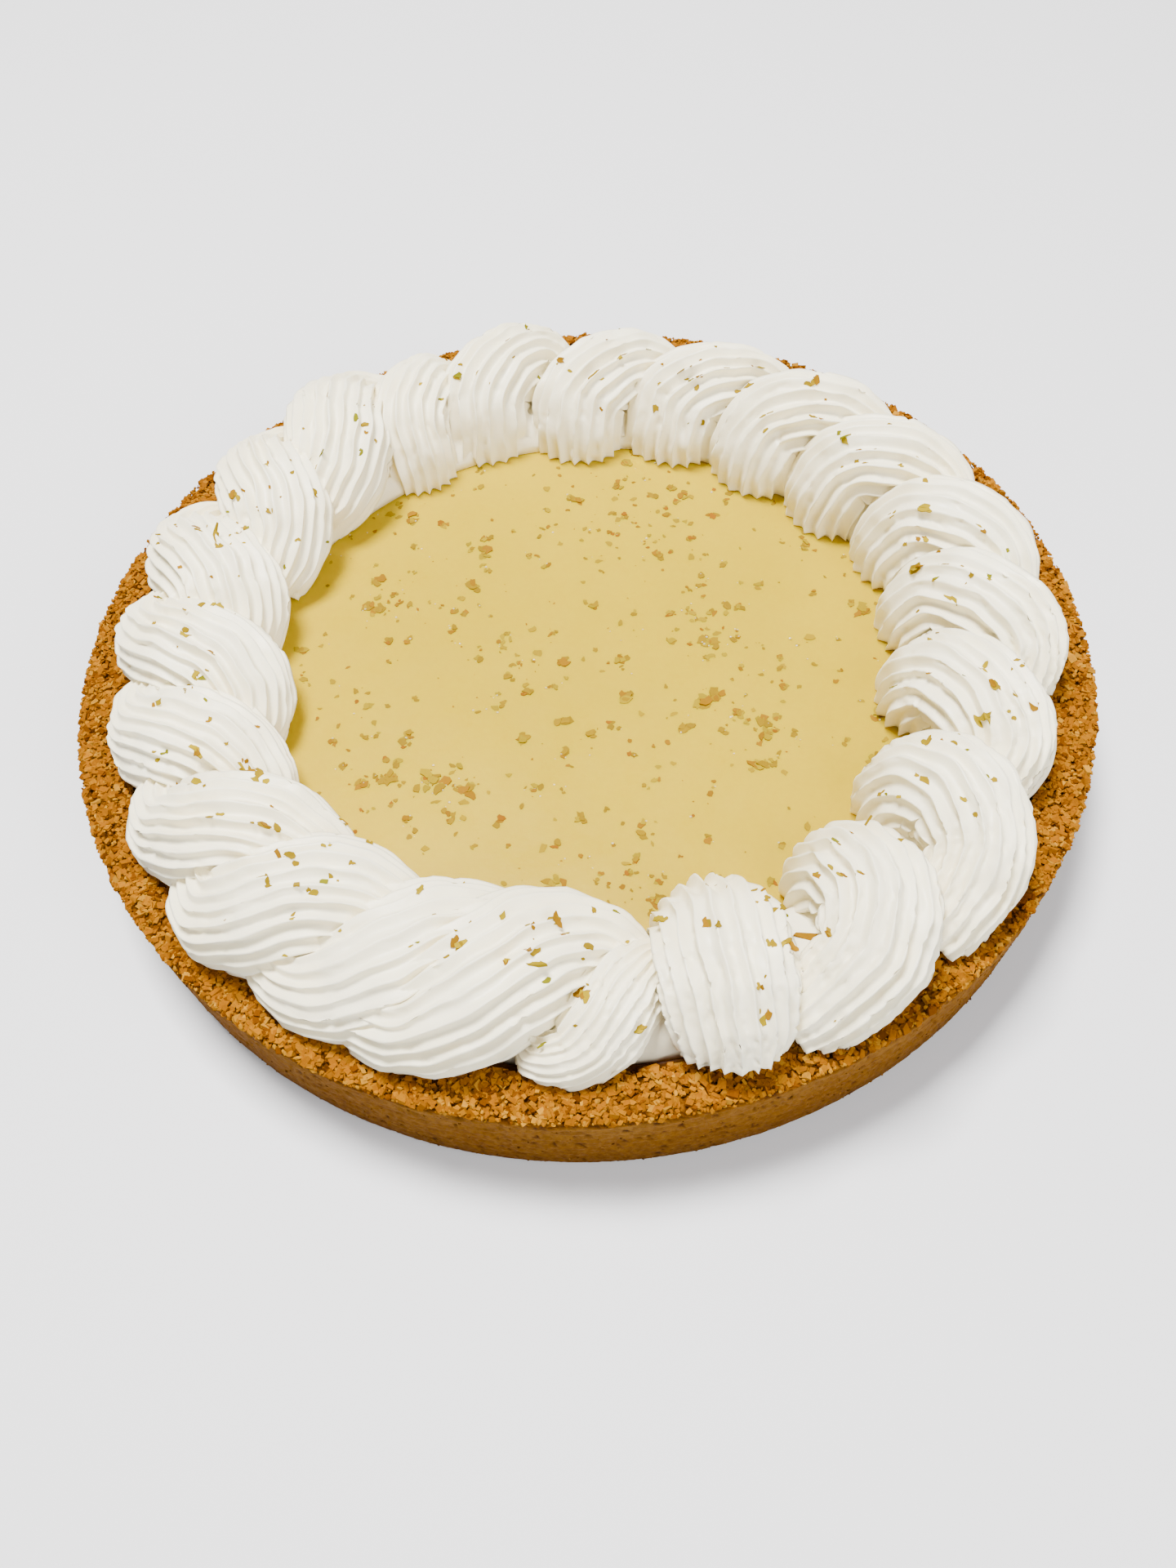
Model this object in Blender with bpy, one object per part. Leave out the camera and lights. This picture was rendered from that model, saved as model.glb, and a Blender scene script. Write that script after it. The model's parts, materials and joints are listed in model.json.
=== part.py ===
# Key lime pie: a crumb crust shell, a flat lime filling and a piped cream border.
# Lengths in the constants are millimetres. The pie stands on its base at z = 0, centred on
# the Z axis, and its front (the side nearest the viewer of the photo) faces -Y.

import bpy
import bmesh
import math
import random
import numpy as np
from mathutils import Vector
from mathutils.bvhtree import BVHTree

MM = 0.001
UP = np.array([0.0, 0.0, 1.0])
SEED = 407

# Crust shell: a nearly straight wall, a thick crumbly rim and a flat base.
RIM_OUTER_R = 127.0
BASE_OUTER_R = 125.0
RIM_INNER_R = 115.6
CAVITY_BASE_R = 114.2
RIM_Z = 29.0
BASE_THICK = 7.0
CORNER = 1.6
CRUST_SEGMENTS = 120
RIM_BUMP = 0.55
WALL_BUMP = 0.35
CRUMBS_ON_RIM = 40

# Filling: a disc in the shell, a few millimetres below the rim.
FILL_TOP_Z = 25.0
FIT_GAP = 0.35
FILL_SEGMENTS = 72
ZEST_ON_FILLING = 34
ZEST_ON_CREAM = 18
ZEST_FIELD_R = 66.0

# Piped border: each loop of the strand is a ridged tube swept along a short bent path.
# A path row holds outward, forward and upward offsets from the loop's centre on the
# filling, and the radius of the strand there.
SHELL_PATH = [
    (-9.0, -7.5, -4.0, 12.0),
    (-9.0, -7.5, 6.0, 12.5),
    (-4.0, -6.0, 13.0, 13.0),
    (3.5, 0.5, 15.2, 12.8),
    (8.0, 7.5, 13.0, 11.5),
    (6.5, 14.5, 7.0, 9.5),
]
ROPE_PATH = [
    (1.0, -15.0, 4.0, 8.0),
    (7.5, -14.0, 6.0, 10.0),
    (9.5, -7.0, 8.5, 11.5),
    (5.5, 0.0, 12.0, 12.8),
    (-0.5, 5.0, 13.7, 13.0),
    (-7.0, 10.0, 12.8, 13.0),
    (-11.0, 17.0, 9.0, 12.0),
    (-9.5, 25.0, 3.0, 10.0),
]
HOOK_PATH = [
    (-9.5, -5.5, -4.0, 12.0),
    (-9.5, -5.5, 6.0, 12.5),
    (-5.0, -6.0, 12.5, 13.0),
    (2.5, -3.5, 15.0, 13.0),
    (9.0, 4.0, 12.5, 12.0),
    (10.0, 13.0, 8.0, 10.5),
    (8.0, 20.0, 3.0, 9.0),
]
TAIL_PATH = [
    (-10.0, -1.0, -4.0, 12.0),
    (-10.0, -1.0, 6.0, 12.8),
    (-5.0, -1.0, 12.5, 13.5),
    (2.0, 0.0, 14.5, 13.5),
    (9.0, 1.0, 11.5, 12.5),
    (14.0, 2.0, 5.0, 10.0),
]
PATHS = {"shell": SHELL_PATH, "rope": ROPE_PATH, "hook": HOOK_PATH, "tail": TAIL_PATH}
# Shells, hooks and the tail follow one another clockwise seen from above, rope loops
# counter-clockwise.
FORWARD = {"shell": -1.0, "rope": 1.0, "hook": -1.0, "tail": -1.0}
STRAND_RIDGES = {"shell": 13, "rope": 12, "hook": 13, "tail": 13}
# A rope is wider than high.
WIDEN = {"shell": 1.0, "rope": 1.2, "hook": 1.0, "tail": 1.0}

# kind, angle of the centre, its distance from the axis, scale outward, scale forward,
# scale upward, turn about the vertical
LOOPS = [
    ("shell", 117, 92, 0.90, 0.95, 0.92, 5),
    ("shell", 101, 94, 0.93, 1.10, 0.97, 0),
    ("shell", 82, 89, 0.96, 1.12, 0.95, 0),
    ("shell", 63, 91, 0.95, 1.20, 0.93, 0),
    ("shell", 44, 91, 1.00, 1.18, 1.00, 0),
    ("shell", 27, 93, 1.00, 1.15, 1.00, 3),
    ("shell", 10, 97, 1.00, 1.12, 1.00, 0),
    ("shell", -6, 97, 1.06, 1.10, 1.00, 0),
    ("shell", -22, 96, 1.05, 1.10, 0.92, 0),
    ("hook", -41, 101, 1.03, 1.08, 1.00, 4),
    ("hook", -59, 103, 1.03, 1.05, 1.00, 0),
    ("tail", -76, 101, 1.03, 1.14, 1.00, 0),
    ("rope", 129, 97, 1.00, 1.00, 1.05, 0),
    ("rope", 146, 96, 0.92, 1.00, 1.04, 6),
    ("rope", 164, 97, 0.95, 0.95, 1.00, 0),
    ("rope", 181, 95, 0.98, 0.96, 0.97, 0),
    ("rope", 197, 98, 0.86, 1.00, 0.92, 0),
    ("rope", 214, 99, 0.88, 1.00, 0.98, 0),
    ("rope", 228, 101, 0.96, 0.98, 1.00, -4),
    ("rope", 243, 100, 0.95, 1.15, 0.88, 0),
    ("rope", 254, 100, 0.97, 1.15, 0.95, 0),
    ("rope", 269, 105, 0.60, 0.70, 0.72, 10),
]
RIDGE_DEPTH = 0.16
CREST = 1.06
FINE_SECTIONS = 61
SECTIONS = 10
CREAM_TRIANGLES = 7600
# The border lies a little nearer the front than the crust, and the core nearer still.
BORDER_SHIFT_Y = -4.5
CORE_SHIFT_Y = -7.0
CORE_R = 95.0
CORE_HALF_WIDTH = 11.2
CORE_TOP = 9.5


def clear_scene():
    for ob in list(bpy.data.objects):
        bpy.data.objects.remove(ob, do_unlink=True)


def make_material(name, color, roughness):
    mat = bpy.data.materials.new(name)
    mat.use_nodes = True
    bsdf = mat.node_tree.nodes["Principled BSDF"]
    bsdf.inputs["Base Color"].default_value = (color[0], color[1], color[2], 1.0)
    bsdf.inputs["Roughness"].default_value = roughness
    mat.diffuse_color = (color[0], color[1], color[2], 1.0)
    return mat


def add_object(name, verts, faces, mat=None, collection=None):
    mesh = bpy.data.meshes.new(name)
    mesh.from_pydata([(x * MM, y * MM, z * MM) for x, y, z in verts], [], faces)
    ob = bpy.data.objects.new(name, mesh)
    (collection or bpy.context.scene.collection).objects.link(ob)
    if mat is not None:
        mesh.materials.append(mat)
    bm = bmesh.new()
    bm.from_mesh(mesh)
    bmesh.ops.recalc_face_normals(bm, faces=bm.faces)
    if bm.calc_volume(signed=True) < 0:
        bmesh.ops.reverse_faces(bm, faces=bm.faces)
    bmesh.ops.triangulate(bm, faces=bm.faces)
    bm.to_mesh(mesh)
    bm.free()
    return ob


def ring_faces(rings, count, close_ends):
    faces = []
    for i in range(rings - 1):
        for j in range(count):
            k = (j + 1) % count
            faces.append((i * count + j, i * count + k, (i + 1) * count + k, (i + 1) * count + j))
    if close_ends:
        first = rings * count
        last = first + 1
        for j in range(count):
            k = (j + 1) % count
            faces.append((first, k, j))
            faces.append((last, (rings - 1) * count + j, (rings - 1) * count + k))
    return faces


def apply_modifiers(ob):
    deps = bpy.context.evaluated_depsgraph_get()
    mesh = bpy.data.meshes.new_from_object(ob.evaluated_get(deps))
    old = ob.data
    ob.modifiers.clear()
    ob.data = mesh
    bpy.data.meshes.remove(old)


def join_collection(ob, collection, solver):
    mod = ob.modifiers.new("join", "BOOLEAN")
    mod.operation = "UNION"
    mod.operand_type = "COLLECTION"
    mod.collection = collection
    mod.solver = solver
    apply_modifiers(ob)
    for other in list(collection.objects):
        bpy.data.objects.remove(other, do_unlink=True)
    bpy.data.collections.remove(collection)


def cut_away(ob, cutter, solver):
    mod = ob.modifiers.new("cut", "BOOLEAN")
    mod.operation = "DIFFERENCE"
    mod.object = cutter
    mod.solver = solver
    apply_modifiers(ob)
    bpy.data.objects.remove(cutter, do_unlink=True)


def tidy_mesh(ob, merge_mm):
    bm = bmesh.new()
    bm.from_mesh(ob.data)
    if merge_mm > 0:
        bmesh.ops.remove_doubles(bm, verts=bm.verts, dist=merge_mm * MM)
        bmesh.ops.dissolve_degenerate(bm, edges=bm.edges, dist=merge_mm * MM)
    bmesh.ops.triangulate(bm, faces=bm.faces, ngon_method="EAR_CLIP")
    # keep the biggest connected piece, in case a scrap was left loose
    todo = set(bm.faces)
    parts = []
    while todo:
        start = todo.pop()
        part = [start]
        stack = [start]
        while stack:
            face = stack.pop()
            for edge in face.edges:
                for other in edge.link_faces:
                    if other in todo:
                        todo.discard(other)
                        part.append(other)
                        stack.append(other)
        parts.append(part)
    parts.sort(key=len)
    for part in parts[:-1]:
        bmesh.ops.delete(bm, geom=part, context="FACES")
    loose = [v for v in bm.verts if not v.link_faces]
    bmesh.ops.delete(bm, geom=loose, context="VERTS")
    bmesh.ops.recalc_face_normals(bm, faces=bm.faces)
    if bm.calc_volume(signed=True) < 0:
        bmesh.ops.reverse_faces(bm, faces=bm.faces)
    bm.to_mesh(ob.data)
    bm.free()


def simplify(ob, triangles):
    now = len(ob.data.polygons)
    if now <= triangles:
        return
    mod = ob.modifiers.new("simplify", "DECIMATE")
    mod.decimate_type = "COLLAPSE"
    mod.ratio = triangles / now
    apply_modifiers(ob)


def smooth_path(rows, count):
    rows = np.array(rows, float)
    last = len(rows) - 1
    out = np.zeros((count, rows.shape[1]))
    for n in range(count):
        t = last * n / (count - 1)
        i = min(int(t), last - 1)
        f = t - i
        before = rows[i - 1] if i > 0 else 2 * rows[0] - rows[1]
        after = rows[i + 2] if i + 2 <= last else 2 * rows[-1] - rows[-2]
        a = rows[i]
        b = rows[i + 1]
        out[n] = 0.5 * (2 * a + (b - before) * f + (2 * before - 5 * a + 4 * b - after) * f * f
                        + (3 * a - before - 3 * b + after) * f ** 3)
    return out


def strand_frame(points):
    # two directions across the strand that don't twist along it, and how it bends
    tangent = np.gradient(points, axis=0)
    length = np.linalg.norm(tangent, axis=1)
    tangent = tangent / length[:, None]
    bend = np.gradient(tangent, axis=0) / length[:, None]
    bend = bend - (bend * tangent).sum(1)[:, None] * tangent
    for step in range(3):
        bend[1:-1] = 0.25 * bend[:-2] + 0.5 * bend[1:-1] + 0.25 * bend[2:]
    normal = np.zeros_like(points)
    guide = UP if abs(tangent[0, 2]) < 0.8 else np.array([1.0, 0.0, 0.0])
    first = guide - (guide @ tangent[0]) * tangent[0]
    normal[0] = first / np.linalg.norm(first)
    for i in range(1, len(points)):
        vec = normal[i - 1] - (normal[i - 1] @ tangent[i]) * tangent[i]
        normal[i] = vec / np.linalg.norm(vec)
    return normal, np.cross(tangent, normal), bend, tangent


def squeeze(offset, bend):
    # the inside of a bend is squeezed, so that the ridges meet there
    tight = np.linalg.norm(bend)
    if tight < 1e-6:
        return offset
    inward = bend / tight
    reach = float(offset @ inward)
    limit = 0.92 / tight
    free = 0.45 * limit
    if reach <= free:
        return offset
    room = limit - free
    return offset + (free + room * (1 - math.exp(-(reach - free) / room)) - reach) * inward


def widen(offset, tangent, factor):
    # sideways only, level with the filling
    level = np.cross(UP, tangent)
    length = np.linalg.norm(level)
    if length < 0.2:
        return offset
    level = level / length
    return offset + (factor - 1.0) * float(offset @ level) * level


def strand_mesh(row):
    kind, angle, dist, out_scale, fwd_scale, up_scale, turn = row
    rows = smooth_path(PATHS[kind], FINE_SECTIONS)
    points = rows[:, :3]
    normal, cross, bend, tangent = strand_frame(points)
    count = 2 * STRAND_RIDGES[kind]
    local = []
    for i in np.linspace(0, FINE_SECTIONS - 1, SECTIONS).round().astype(int):
        for j in range(count):
            phi = 2 * math.pi * j / count
            size = rows[i, 3] * CREST * (1.0 if j % 2 == 0 else 1.0 - RIDGE_DEPTH)
            offset = (math.cos(phi) * normal[i] + math.sin(phi) * cross[i]) * size
            offset = squeeze(offset, bend[i])
            offset = widen(offset, tangent[i], WIDEN[kind])
            local.append(points[i] + offset)
    local.append(points[0])
    local.append(points[-1])
    a = math.radians(angle)
    t = a + math.radians(turn)
    out_dir = np.array([math.cos(t), math.sin(t), 0.0]) * out_scale
    fwd_dir = np.array([-math.sin(t), math.cos(t), 0.0]) * fwd_scale * FORWARD[kind]
    centre = np.array([dist * math.cos(a), dist * math.sin(a), FILL_TOP_Z])
    verts = [tuple(centre + v[0] * out_dir + v[1] * fwd_dir + v[2] * up_scale * UP) for v in local]
    return verts, ring_faces(SECTIONS, count, True)


def core_mesh():
    # the cream under the humps, down to the filling
    segments = 40
    section = [(-1.0, -0.1), (-0.9, 0.45), (-0.45, 0.9), (0.0, 1.0), (0.45, 0.9), (0.9, 0.45), (1.0, -0.1)]
    verts = []
    faces = []
    count = len(section)
    for i in range(segments):
        a = 2 * math.pi * i / segments
        for across, up in section:
            r = CORE_R + across * CORE_HALF_WIDTH
            verts.append((r * math.cos(a), r * math.sin(a) + CORE_SHIFT_Y, FILL_TOP_Z + up * CORE_TOP))
    for i in range(segments):
        n = (i + 1) % segments
        for j in range(count):
            k = (j + 1) % count
            faces.append((i * count + j, i * count + k, n * count + k, n * count + j))
    return verts, faces


def revolve(profile, segments, name, mat=None, collection=None):
    verts = []
    count = len(profile)
    for i in range(segments):
        a = 2 * math.pi * i / segments
        for r, z in profile:
            verts.append((r * math.cos(a), r * math.sin(a), z))
    faces = []
    for i in range(segments):
        n = (i + 1) % segments
        for j in range(count - 1):
            faces.append((i * count + j, n * count + j, n * count + j + 1, i * count + j + 1))
    faces.append(tuple(i * count for i in range(segments)))
    faces.append(tuple(i * count + count - 1 for i in range(segments)))
    return add_object(name, verts, faces, mat, collection)


def zest_mesh(rng, length):
    # a short curled shaving: a bent strip, thick enough to be a solid
    wide = rng.uniform(0.32, 0.5) * length
    thick = max(0.75, 0.3 * length)
    bend = rng.uniform(-0.35, 0.35) * length
    verts = []
    for s in (-0.5, 0.0, 0.5):
        w = wide * (0.6 if s else 1.0) * rng.uniform(0.85, 1.15)
        y0 = bend * (s * s * 4 - 0.5)
        for y, z in ((-0.5, -0.5), (0.5, -0.5), (0.5, 0.5), (-0.5, 0.5)):
            lift = rng.uniform(-0.06, 0.06) * length
            verts.append(np.array([s * length, y0 + y * w, z * thick + lift]))
    faces = []
    for i in range(2):
        for j in range(4):
            k = (j + 1) % 4
            faces.append((i * 4 + j, i * 4 + k, (i + 1) * 4 + k, (i + 1) * 4 + j))
    faces.append((3, 2, 1, 0))
    faces.append((8, 9, 10, 11))
    return verts, faces


def place_bit(verts, at, normal, spin):
    up = np.array(normal, float)
    up = up / np.linalg.norm(up)
    side = np.cross(up, np.array([0.3, 0.9, 0.31]))
    side = side / np.linalg.norm(side)
    along = np.cross(side, up)
    x_dir = math.cos(spin) * side + math.sin(spin) * along
    y_dir = np.cross(up, x_dir)
    return [tuple(np.array(at) + v[0] * x_dir + v[1] * y_dir + v[2] * up) for v in verts]


def build_cream(mat, rng):
    parts = bpy.data.collections.new("cream_loops")
    bpy.context.scene.collection.children.link(parts)
    verts, faces = core_mesh()
    cream = add_object("cream_border", verts, faces, mat)
    for n, row in enumerate(LOOPS):
        verts, faces = strand_mesh(row)
        add_object("loop_%02d" % n, verts, faces, mat, parts)
    join_collection(cream, parts, "MANIFOLD")

    # the underside follows the filling and the crust rim, with a hair of clearance
    step_r = RIM_INNER_R - 0.9
    low = FILL_TOP_Z + FIT_GAP
    high = RIM_Z + RIM_BUMP + FIT_GAP + 0.25
    cutter = revolve([(step_r, low), (step_r, high), (step_r + 40, high), (step_r + 40, low - 40)],
                     96, "cream_under")
    cut_away(cream, cutter, "MANIFOLD")
    tidy_mesh(cream, 0.0)
    simplify(cream, CREAM_TRIANGLES)
    tidy_mesh(cream, 0.0)

    # zest that lies on the cream
    bm = bmesh.new()
    bm.from_mesh(cream.data)
    tree = BVHTree.FromBMesh(bm)
    bits = bpy.data.collections.new("cream_zest")
    bpy.context.scene.collection.children.link(bits)
    made = 0
    while made < ZEST_ON_CREAM:
        a = 2 * math.pi * (made + rng.uniform(-0.3, 0.3)) / ZEST_ON_CREAM
        r = rng.uniform(84.0, 104.0)
        x = r * math.cos(a)
        y = r * math.sin(a) + BORDER_SHIFT_Y
        hit, normal, index, dist = tree.ray_cast(Vector((x * MM, y * MM, 0.1)), Vector((0, 0, -1)))
        length = rng.uniform(2.4, 4.0)
        if hit is None or normal.z < 0.55 or hit.z < (FILL_TOP_Z + 14) * MM:
            continue
        verts, faces = zest_mesh(rng, length)
        verts = place_bit(verts, (x, y, hit.z / MM + 0.12), normal, rng.uniform(0, math.pi))
        add_object("cream_zest_%02d" % made, verts, faces, mat, bits)
        made += 1
    bm.free()
    join_collection(cream, bits, "MANIFOLD")
    tidy_mesh(cream, 0.001)
    return cream


def build_filling(mat, rng):
    top_r = RIM_INNER_R - FIT_GAP
    bottom_r = CAVITY_BASE_R - FIT_GAP
    profile = [(bottom_r - 1.0, BASE_THICK + FIT_GAP), (bottom_r, BASE_THICK + FIT_GAP + 1.0),
               (top_r - 0.35, FILL_TOP_Z - 0.8), (top_r - 0.9, FILL_TOP_Z)]
    filling = revolve(profile, FILL_SEGMENTS, "filling", mat)
    bits = bpy.data.collections.new("filling_zest")
    bpy.context.scene.collection.children.link(bits)
    spots = []
    golden = math.pi * (3 - math.sqrt(5))
    for n in range(ZEST_ON_FILLING):
        r = ZEST_FIELD_R * math.sqrt((n + 0.5) / ZEST_ON_FILLING)
        a = n * golden
        x = r * math.cos(a) + rng.uniform(-2.5, 2.5)
        y = r * math.sin(a) + rng.uniform(-2.5, 2.5) + BORDER_SHIFT_Y
        if any(math.hypot(x - u, y - v) < 4.6 for u, v in spots):
            continue
        spots.append((x, y))
        length = 1.7 + 2.1 * rng.random() ** 2
        verts, faces = zest_mesh(rng, length)
        verts = place_bit(verts, (x, y, FILL_TOP_Z + 0.08), (0, 0, 1), rng.uniform(0, math.pi))
        add_object("filling_zest_%02d" % n, verts, faces, mat, bits)
    join_collection(filling, bits, "MANIFOLD")
    tidy_mesh(filling, 0.005)
    return filling


def crumb_mesh(rng, size):
    # an angular crumb: a box with its corners pushed about
    verts = []
    for x, y, z in ((-1, -1, -1), (1, -1, -1), (1, 1, -1), (-1, 1, -1), (-1, -1, 1), (1, -1, 1), (1, 1, 1), (-1, 1, 1)):
        shrink = 0.36 if z > 0 else 0.5
        verts.append(np.array([x * size * shrink * rng.uniform(0.7, 1.25), y * size * shrink * rng.uniform(0.7, 1.25),
                               z * size * 0.4 * rng.uniform(0.8, 1.2)]))
    faces = [(3, 2, 1, 0), (4, 5, 6, 7), (0, 1, 5, 4), (1, 2, 6, 5), (2, 3, 7, 6), (3, 0, 4, 7)]
    return verts, faces


def build_crust(mat, rng):
    corner = CORNER
    half = 0.5 * (RIM_OUTER_R + RIM_INNER_R)
    # radius, height and how much the crumb moves that ring
    profile = [
        (CAVITY_BASE_R, BASE_THICK, 0.0),
        (RIM_INNER_R + 0.3, RIM_Z - corner, 0.5),
        (RIM_INNER_R + corner, RIM_Z - 0.25, 1.0),
        (half - 1.6, RIM_Z, 1.0),
        (half + 1.6, RIM_Z, 1.0),
        (RIM_OUTER_R - corner, RIM_Z - 0.1, 1.0),
        (RIM_OUTER_R - 0.35, RIM_Z - corner, 0.8),
        (RIM_OUTER_R - 0.9, 0.62 * RIM_Z, 0.6),
        (BASE_OUTER_R + 0.6, 0.3 * RIM_Z, 0.6),
        (BASE_OUTER_R, 1.6, 0.4),
        (BASE_OUTER_R - 1.4, 0.0, 0.0),
    ]
    verts = []
    count = len(profile)
    waves = [(rng.uniform(0, 6.28), rng.uniform(0, 6.28)) for k in range(5)]
    for i in range(CRUST_SEGMENTS):
        a = 2 * math.pi * i / CRUST_SEGMENTS
        slow = sum(math.sin((k + 2) * a + waves[k][0]) for k in range(5)) / 5
        rise = sum(math.sin((k + 3) * a + waves[k][1]) for k in range(5)) / 5
        for r, z, rough in profile:
            push = rough * (0.5 * slow + WALL_BUMP * rng.uniform(-1, 1))
            lift = 0.0
            if z > RIM_Z - corner - 0.01:
                lift = RIM_BUMP * (0.35 * rise + 0.65 * rng.uniform(-1, 1))
            if r < RIM_INNER_R + corner + 0.01:
                push = max(push, 0.0)
            b = a + rough * rng.uniform(-0.3, 0.3) * 2 * math.pi / CRUST_SEGMENTS
            verts.append(((r + push) * math.cos(b), (r + push) * math.sin(b), z + lift))
    faces = []
    for i in range(CRUST_SEGMENTS):
        n = (i + 1) % CRUST_SEGMENTS
        for j in range(count - 1):
            faces.append((i * count + j, n * count + j, n * count + j + 1, i * count + j + 1))
    faces.append(tuple(i * count for i in range(CRUST_SEGMENTS)))
    faces.append(tuple(i * count + count - 1 for i in range(CRUST_SEGMENTS)))
    crust = add_object("crust", verts, faces, mat)

    crumbs = bpy.data.collections.new("rim_crumbs")
    bpy.context.scene.collection.children.link(crumbs)
    for n in range(CRUMBS_ON_RIM):
        a = 2 * math.pi * (n + rng.uniform(-0.4, 0.4)) / CRUMBS_ON_RIM
        size = rng.uniform(2.0, 3.4)
        outer = n % 3 == 0
        r = RIM_OUTER_R - 1.2 if outer else rng.uniform(half, RIM_OUTER_R - 2.6)
        out = (math.cos(a), math.sin(a), 0.0)
        up = (0.35 * out[0], 0.35 * out[1], 1.0) if outer else (0.0, 0.0, 1.0)
        verts, faces = crumb_mesh(rng, size)
        verts = place_bit(verts, (r * out[0], r * out[1], RIM_Z - 0.35), up, rng.uniform(0, math.pi))
        add_object("rim_crumb_%02d" % n, verts, faces, mat, crumbs)
    join_collection(crust, crumbs, "MANIFOLD")
    tidy_mesh(crust, 0.005)
    return crust


def main():
    clear_scene()
    rng = random.Random(SEED)
    crust_mat = make_material("crumb_crust", (0.62, 0.34, 0.12), 0.85)
    filling_mat = make_material("lime_filling", (0.84, 0.70, 0.30), 0.35)
    cream_mat = make_material("whipped_cream", (0.92, 0.90, 0.84), 0.5)
    build_crust(crust_mat, rng)
    build_filling(filling_mat, rng)
    build_cream(cream_mat, rng)


main()
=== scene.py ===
# %% [markdown]
# # A key lime pie
# The pie is a crumb crust with a straight wall, a flat lime filling and a border of whipped
# cream piped through a star nozzle. The CAD model gives each of the three its size and place.
# This lesson dresses them: real crumbs on the crust, fine ridges on the cream, flakes of zest.

# %% Load the frame
import json
import math

import bpy
import numpy as np
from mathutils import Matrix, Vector, noise
from mathutils.bvhtree import BVHTree

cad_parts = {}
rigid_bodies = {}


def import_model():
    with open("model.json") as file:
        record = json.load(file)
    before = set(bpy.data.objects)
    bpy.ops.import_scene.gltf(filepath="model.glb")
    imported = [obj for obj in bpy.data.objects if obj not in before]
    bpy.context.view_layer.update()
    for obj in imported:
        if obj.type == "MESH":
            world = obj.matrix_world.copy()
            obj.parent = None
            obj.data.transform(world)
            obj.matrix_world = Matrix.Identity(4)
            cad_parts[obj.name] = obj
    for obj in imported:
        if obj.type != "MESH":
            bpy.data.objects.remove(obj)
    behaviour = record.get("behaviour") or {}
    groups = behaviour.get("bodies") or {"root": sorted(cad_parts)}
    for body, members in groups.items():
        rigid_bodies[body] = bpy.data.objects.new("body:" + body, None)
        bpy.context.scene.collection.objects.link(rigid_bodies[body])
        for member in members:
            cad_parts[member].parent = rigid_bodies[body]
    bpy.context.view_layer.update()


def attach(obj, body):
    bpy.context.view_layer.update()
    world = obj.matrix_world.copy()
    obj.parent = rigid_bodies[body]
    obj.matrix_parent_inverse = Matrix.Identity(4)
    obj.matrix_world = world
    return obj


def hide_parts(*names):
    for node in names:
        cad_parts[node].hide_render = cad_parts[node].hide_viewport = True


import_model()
MM = 0.001

# %% [markdown]
# ## Sizes
# All sizes are in millimetres. The wall is that of a 10 inch pie: it leans out by 2 mm from its
# foot to its rim, and the filling stands 4 mm below the rim.

# %% Sizes of the pie
RIM_OUTER_R = 126.2
RIM_INNER_R = 115.6
BASE_OUTER_R = 124.9
RIM_Z = 29.0
FLOOR_Z = 7.0
FILL_TOP_Z = 25.0
FIT_GAP = 0.35
SEED = 407
draw = np.random.default_rng(SEED)
# noise_vector takes its offsets from this seed, and from the clock if none is set.
noise.seed_set(SEED)
print("wall", RIM_Z, "mm high, rim", round(RIM_OUTER_R - RIM_INNER_R, 1), "mm wide")

# %% [markdown]
# ## Small helpers
# Operators act on whatever is selected, so each piece starts by deselecting everything. A solid
# of rings is the turned form that both the crust and the filling need: a circle is added at its
# first ring, and is then extruded and resized from ring to ring.

# %% Helpers for new pieces
def only(ob):
    bpy.ops.object.select_all(action="DESELECT")
    ob.select_set(True)
    bpy.context.view_layer.objects.active = ob


def positions(ob):
    co = np.empty(len(ob.data.vertices) * 3)
    ob.data.vertices.foreach_get("co", co)
    return co.reshape(-1, 3) / MM


def set_positions(ob, co_mm):
    ob.data.vertices.foreach_set("co", (np.asarray(co_mm) * MM).ravel())
    ob.data.update()


def set_colors(ob, name, colors):
    layer = ob.data.color_attributes.new(name, "FLOAT_COLOR", "POINT")
    layer.data.foreach_set("color", np.asarray(colors, float).ravel())


def ring_solid(name, rings, count):
    """A closed turned solid: rings of (radius, height), the first and last closed by a fan."""
    bpy.ops.object.select_all(action="DESELECT")
    radius, height = rings[0]
    bpy.ops.mesh.primitive_circle_add(vertices=count, radius=radius * MM, fill_type="TRIFAN",
                                      location=(0, 0, height * MM))
    ob = bpy.context.object
    ob.name = name
    bpy.ops.object.transform_apply(location=True)
    bpy.ops.object.mode_set(mode="EDIT")
    bpy.ops.mesh.select_mode(type="EDGE")
    bpy.ops.mesh.select_all(action="SELECT")
    bpy.ops.mesh.region_to_loop()
    for radius_next, height_next in rings[1:]:
        bpy.ops.mesh.extrude_edges_move(TRANSFORM_OT_translate={"value": (0, 0, (height_next - height) * MM)})
        grow = radius_next / radius
        bpy.ops.transform.resize(value=(grow, grow, 1.0), center_override=(0, 0, height_next * MM))
        radius, height = radius_next, height_next
    bpy.ops.mesh.edge_face_add()
    bpy.ops.mesh.poke()
    bpy.ops.mesh.select_all(action="SELECT")
    bpy.ops.mesh.normals_make_consistent(inside=False)
    bpy.ops.object.mode_set(mode="OBJECT")
    bpy.ops.object.shade_smooth()
    return ob


def mesh_piece(name, verts_mm, faces):
    mesh = bpy.data.meshes.new(name)
    mesh.from_pydata((np.asarray(verts_mm) * MM).tolist(), [], faces)
    ob = bpy.data.objects.new(name, mesh)
    bpy.context.scene.collection.objects.link(ob)
    return ob


def finish_piece(ob, material, slot, *nodes):
    ob.data.materials.clear()
    ob.data.materials.append(material)
    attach(ob, "root")
    if nodes:
        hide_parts(*nodes)
    print(ob.name, len(ob.data.polygons), "faces")


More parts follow.
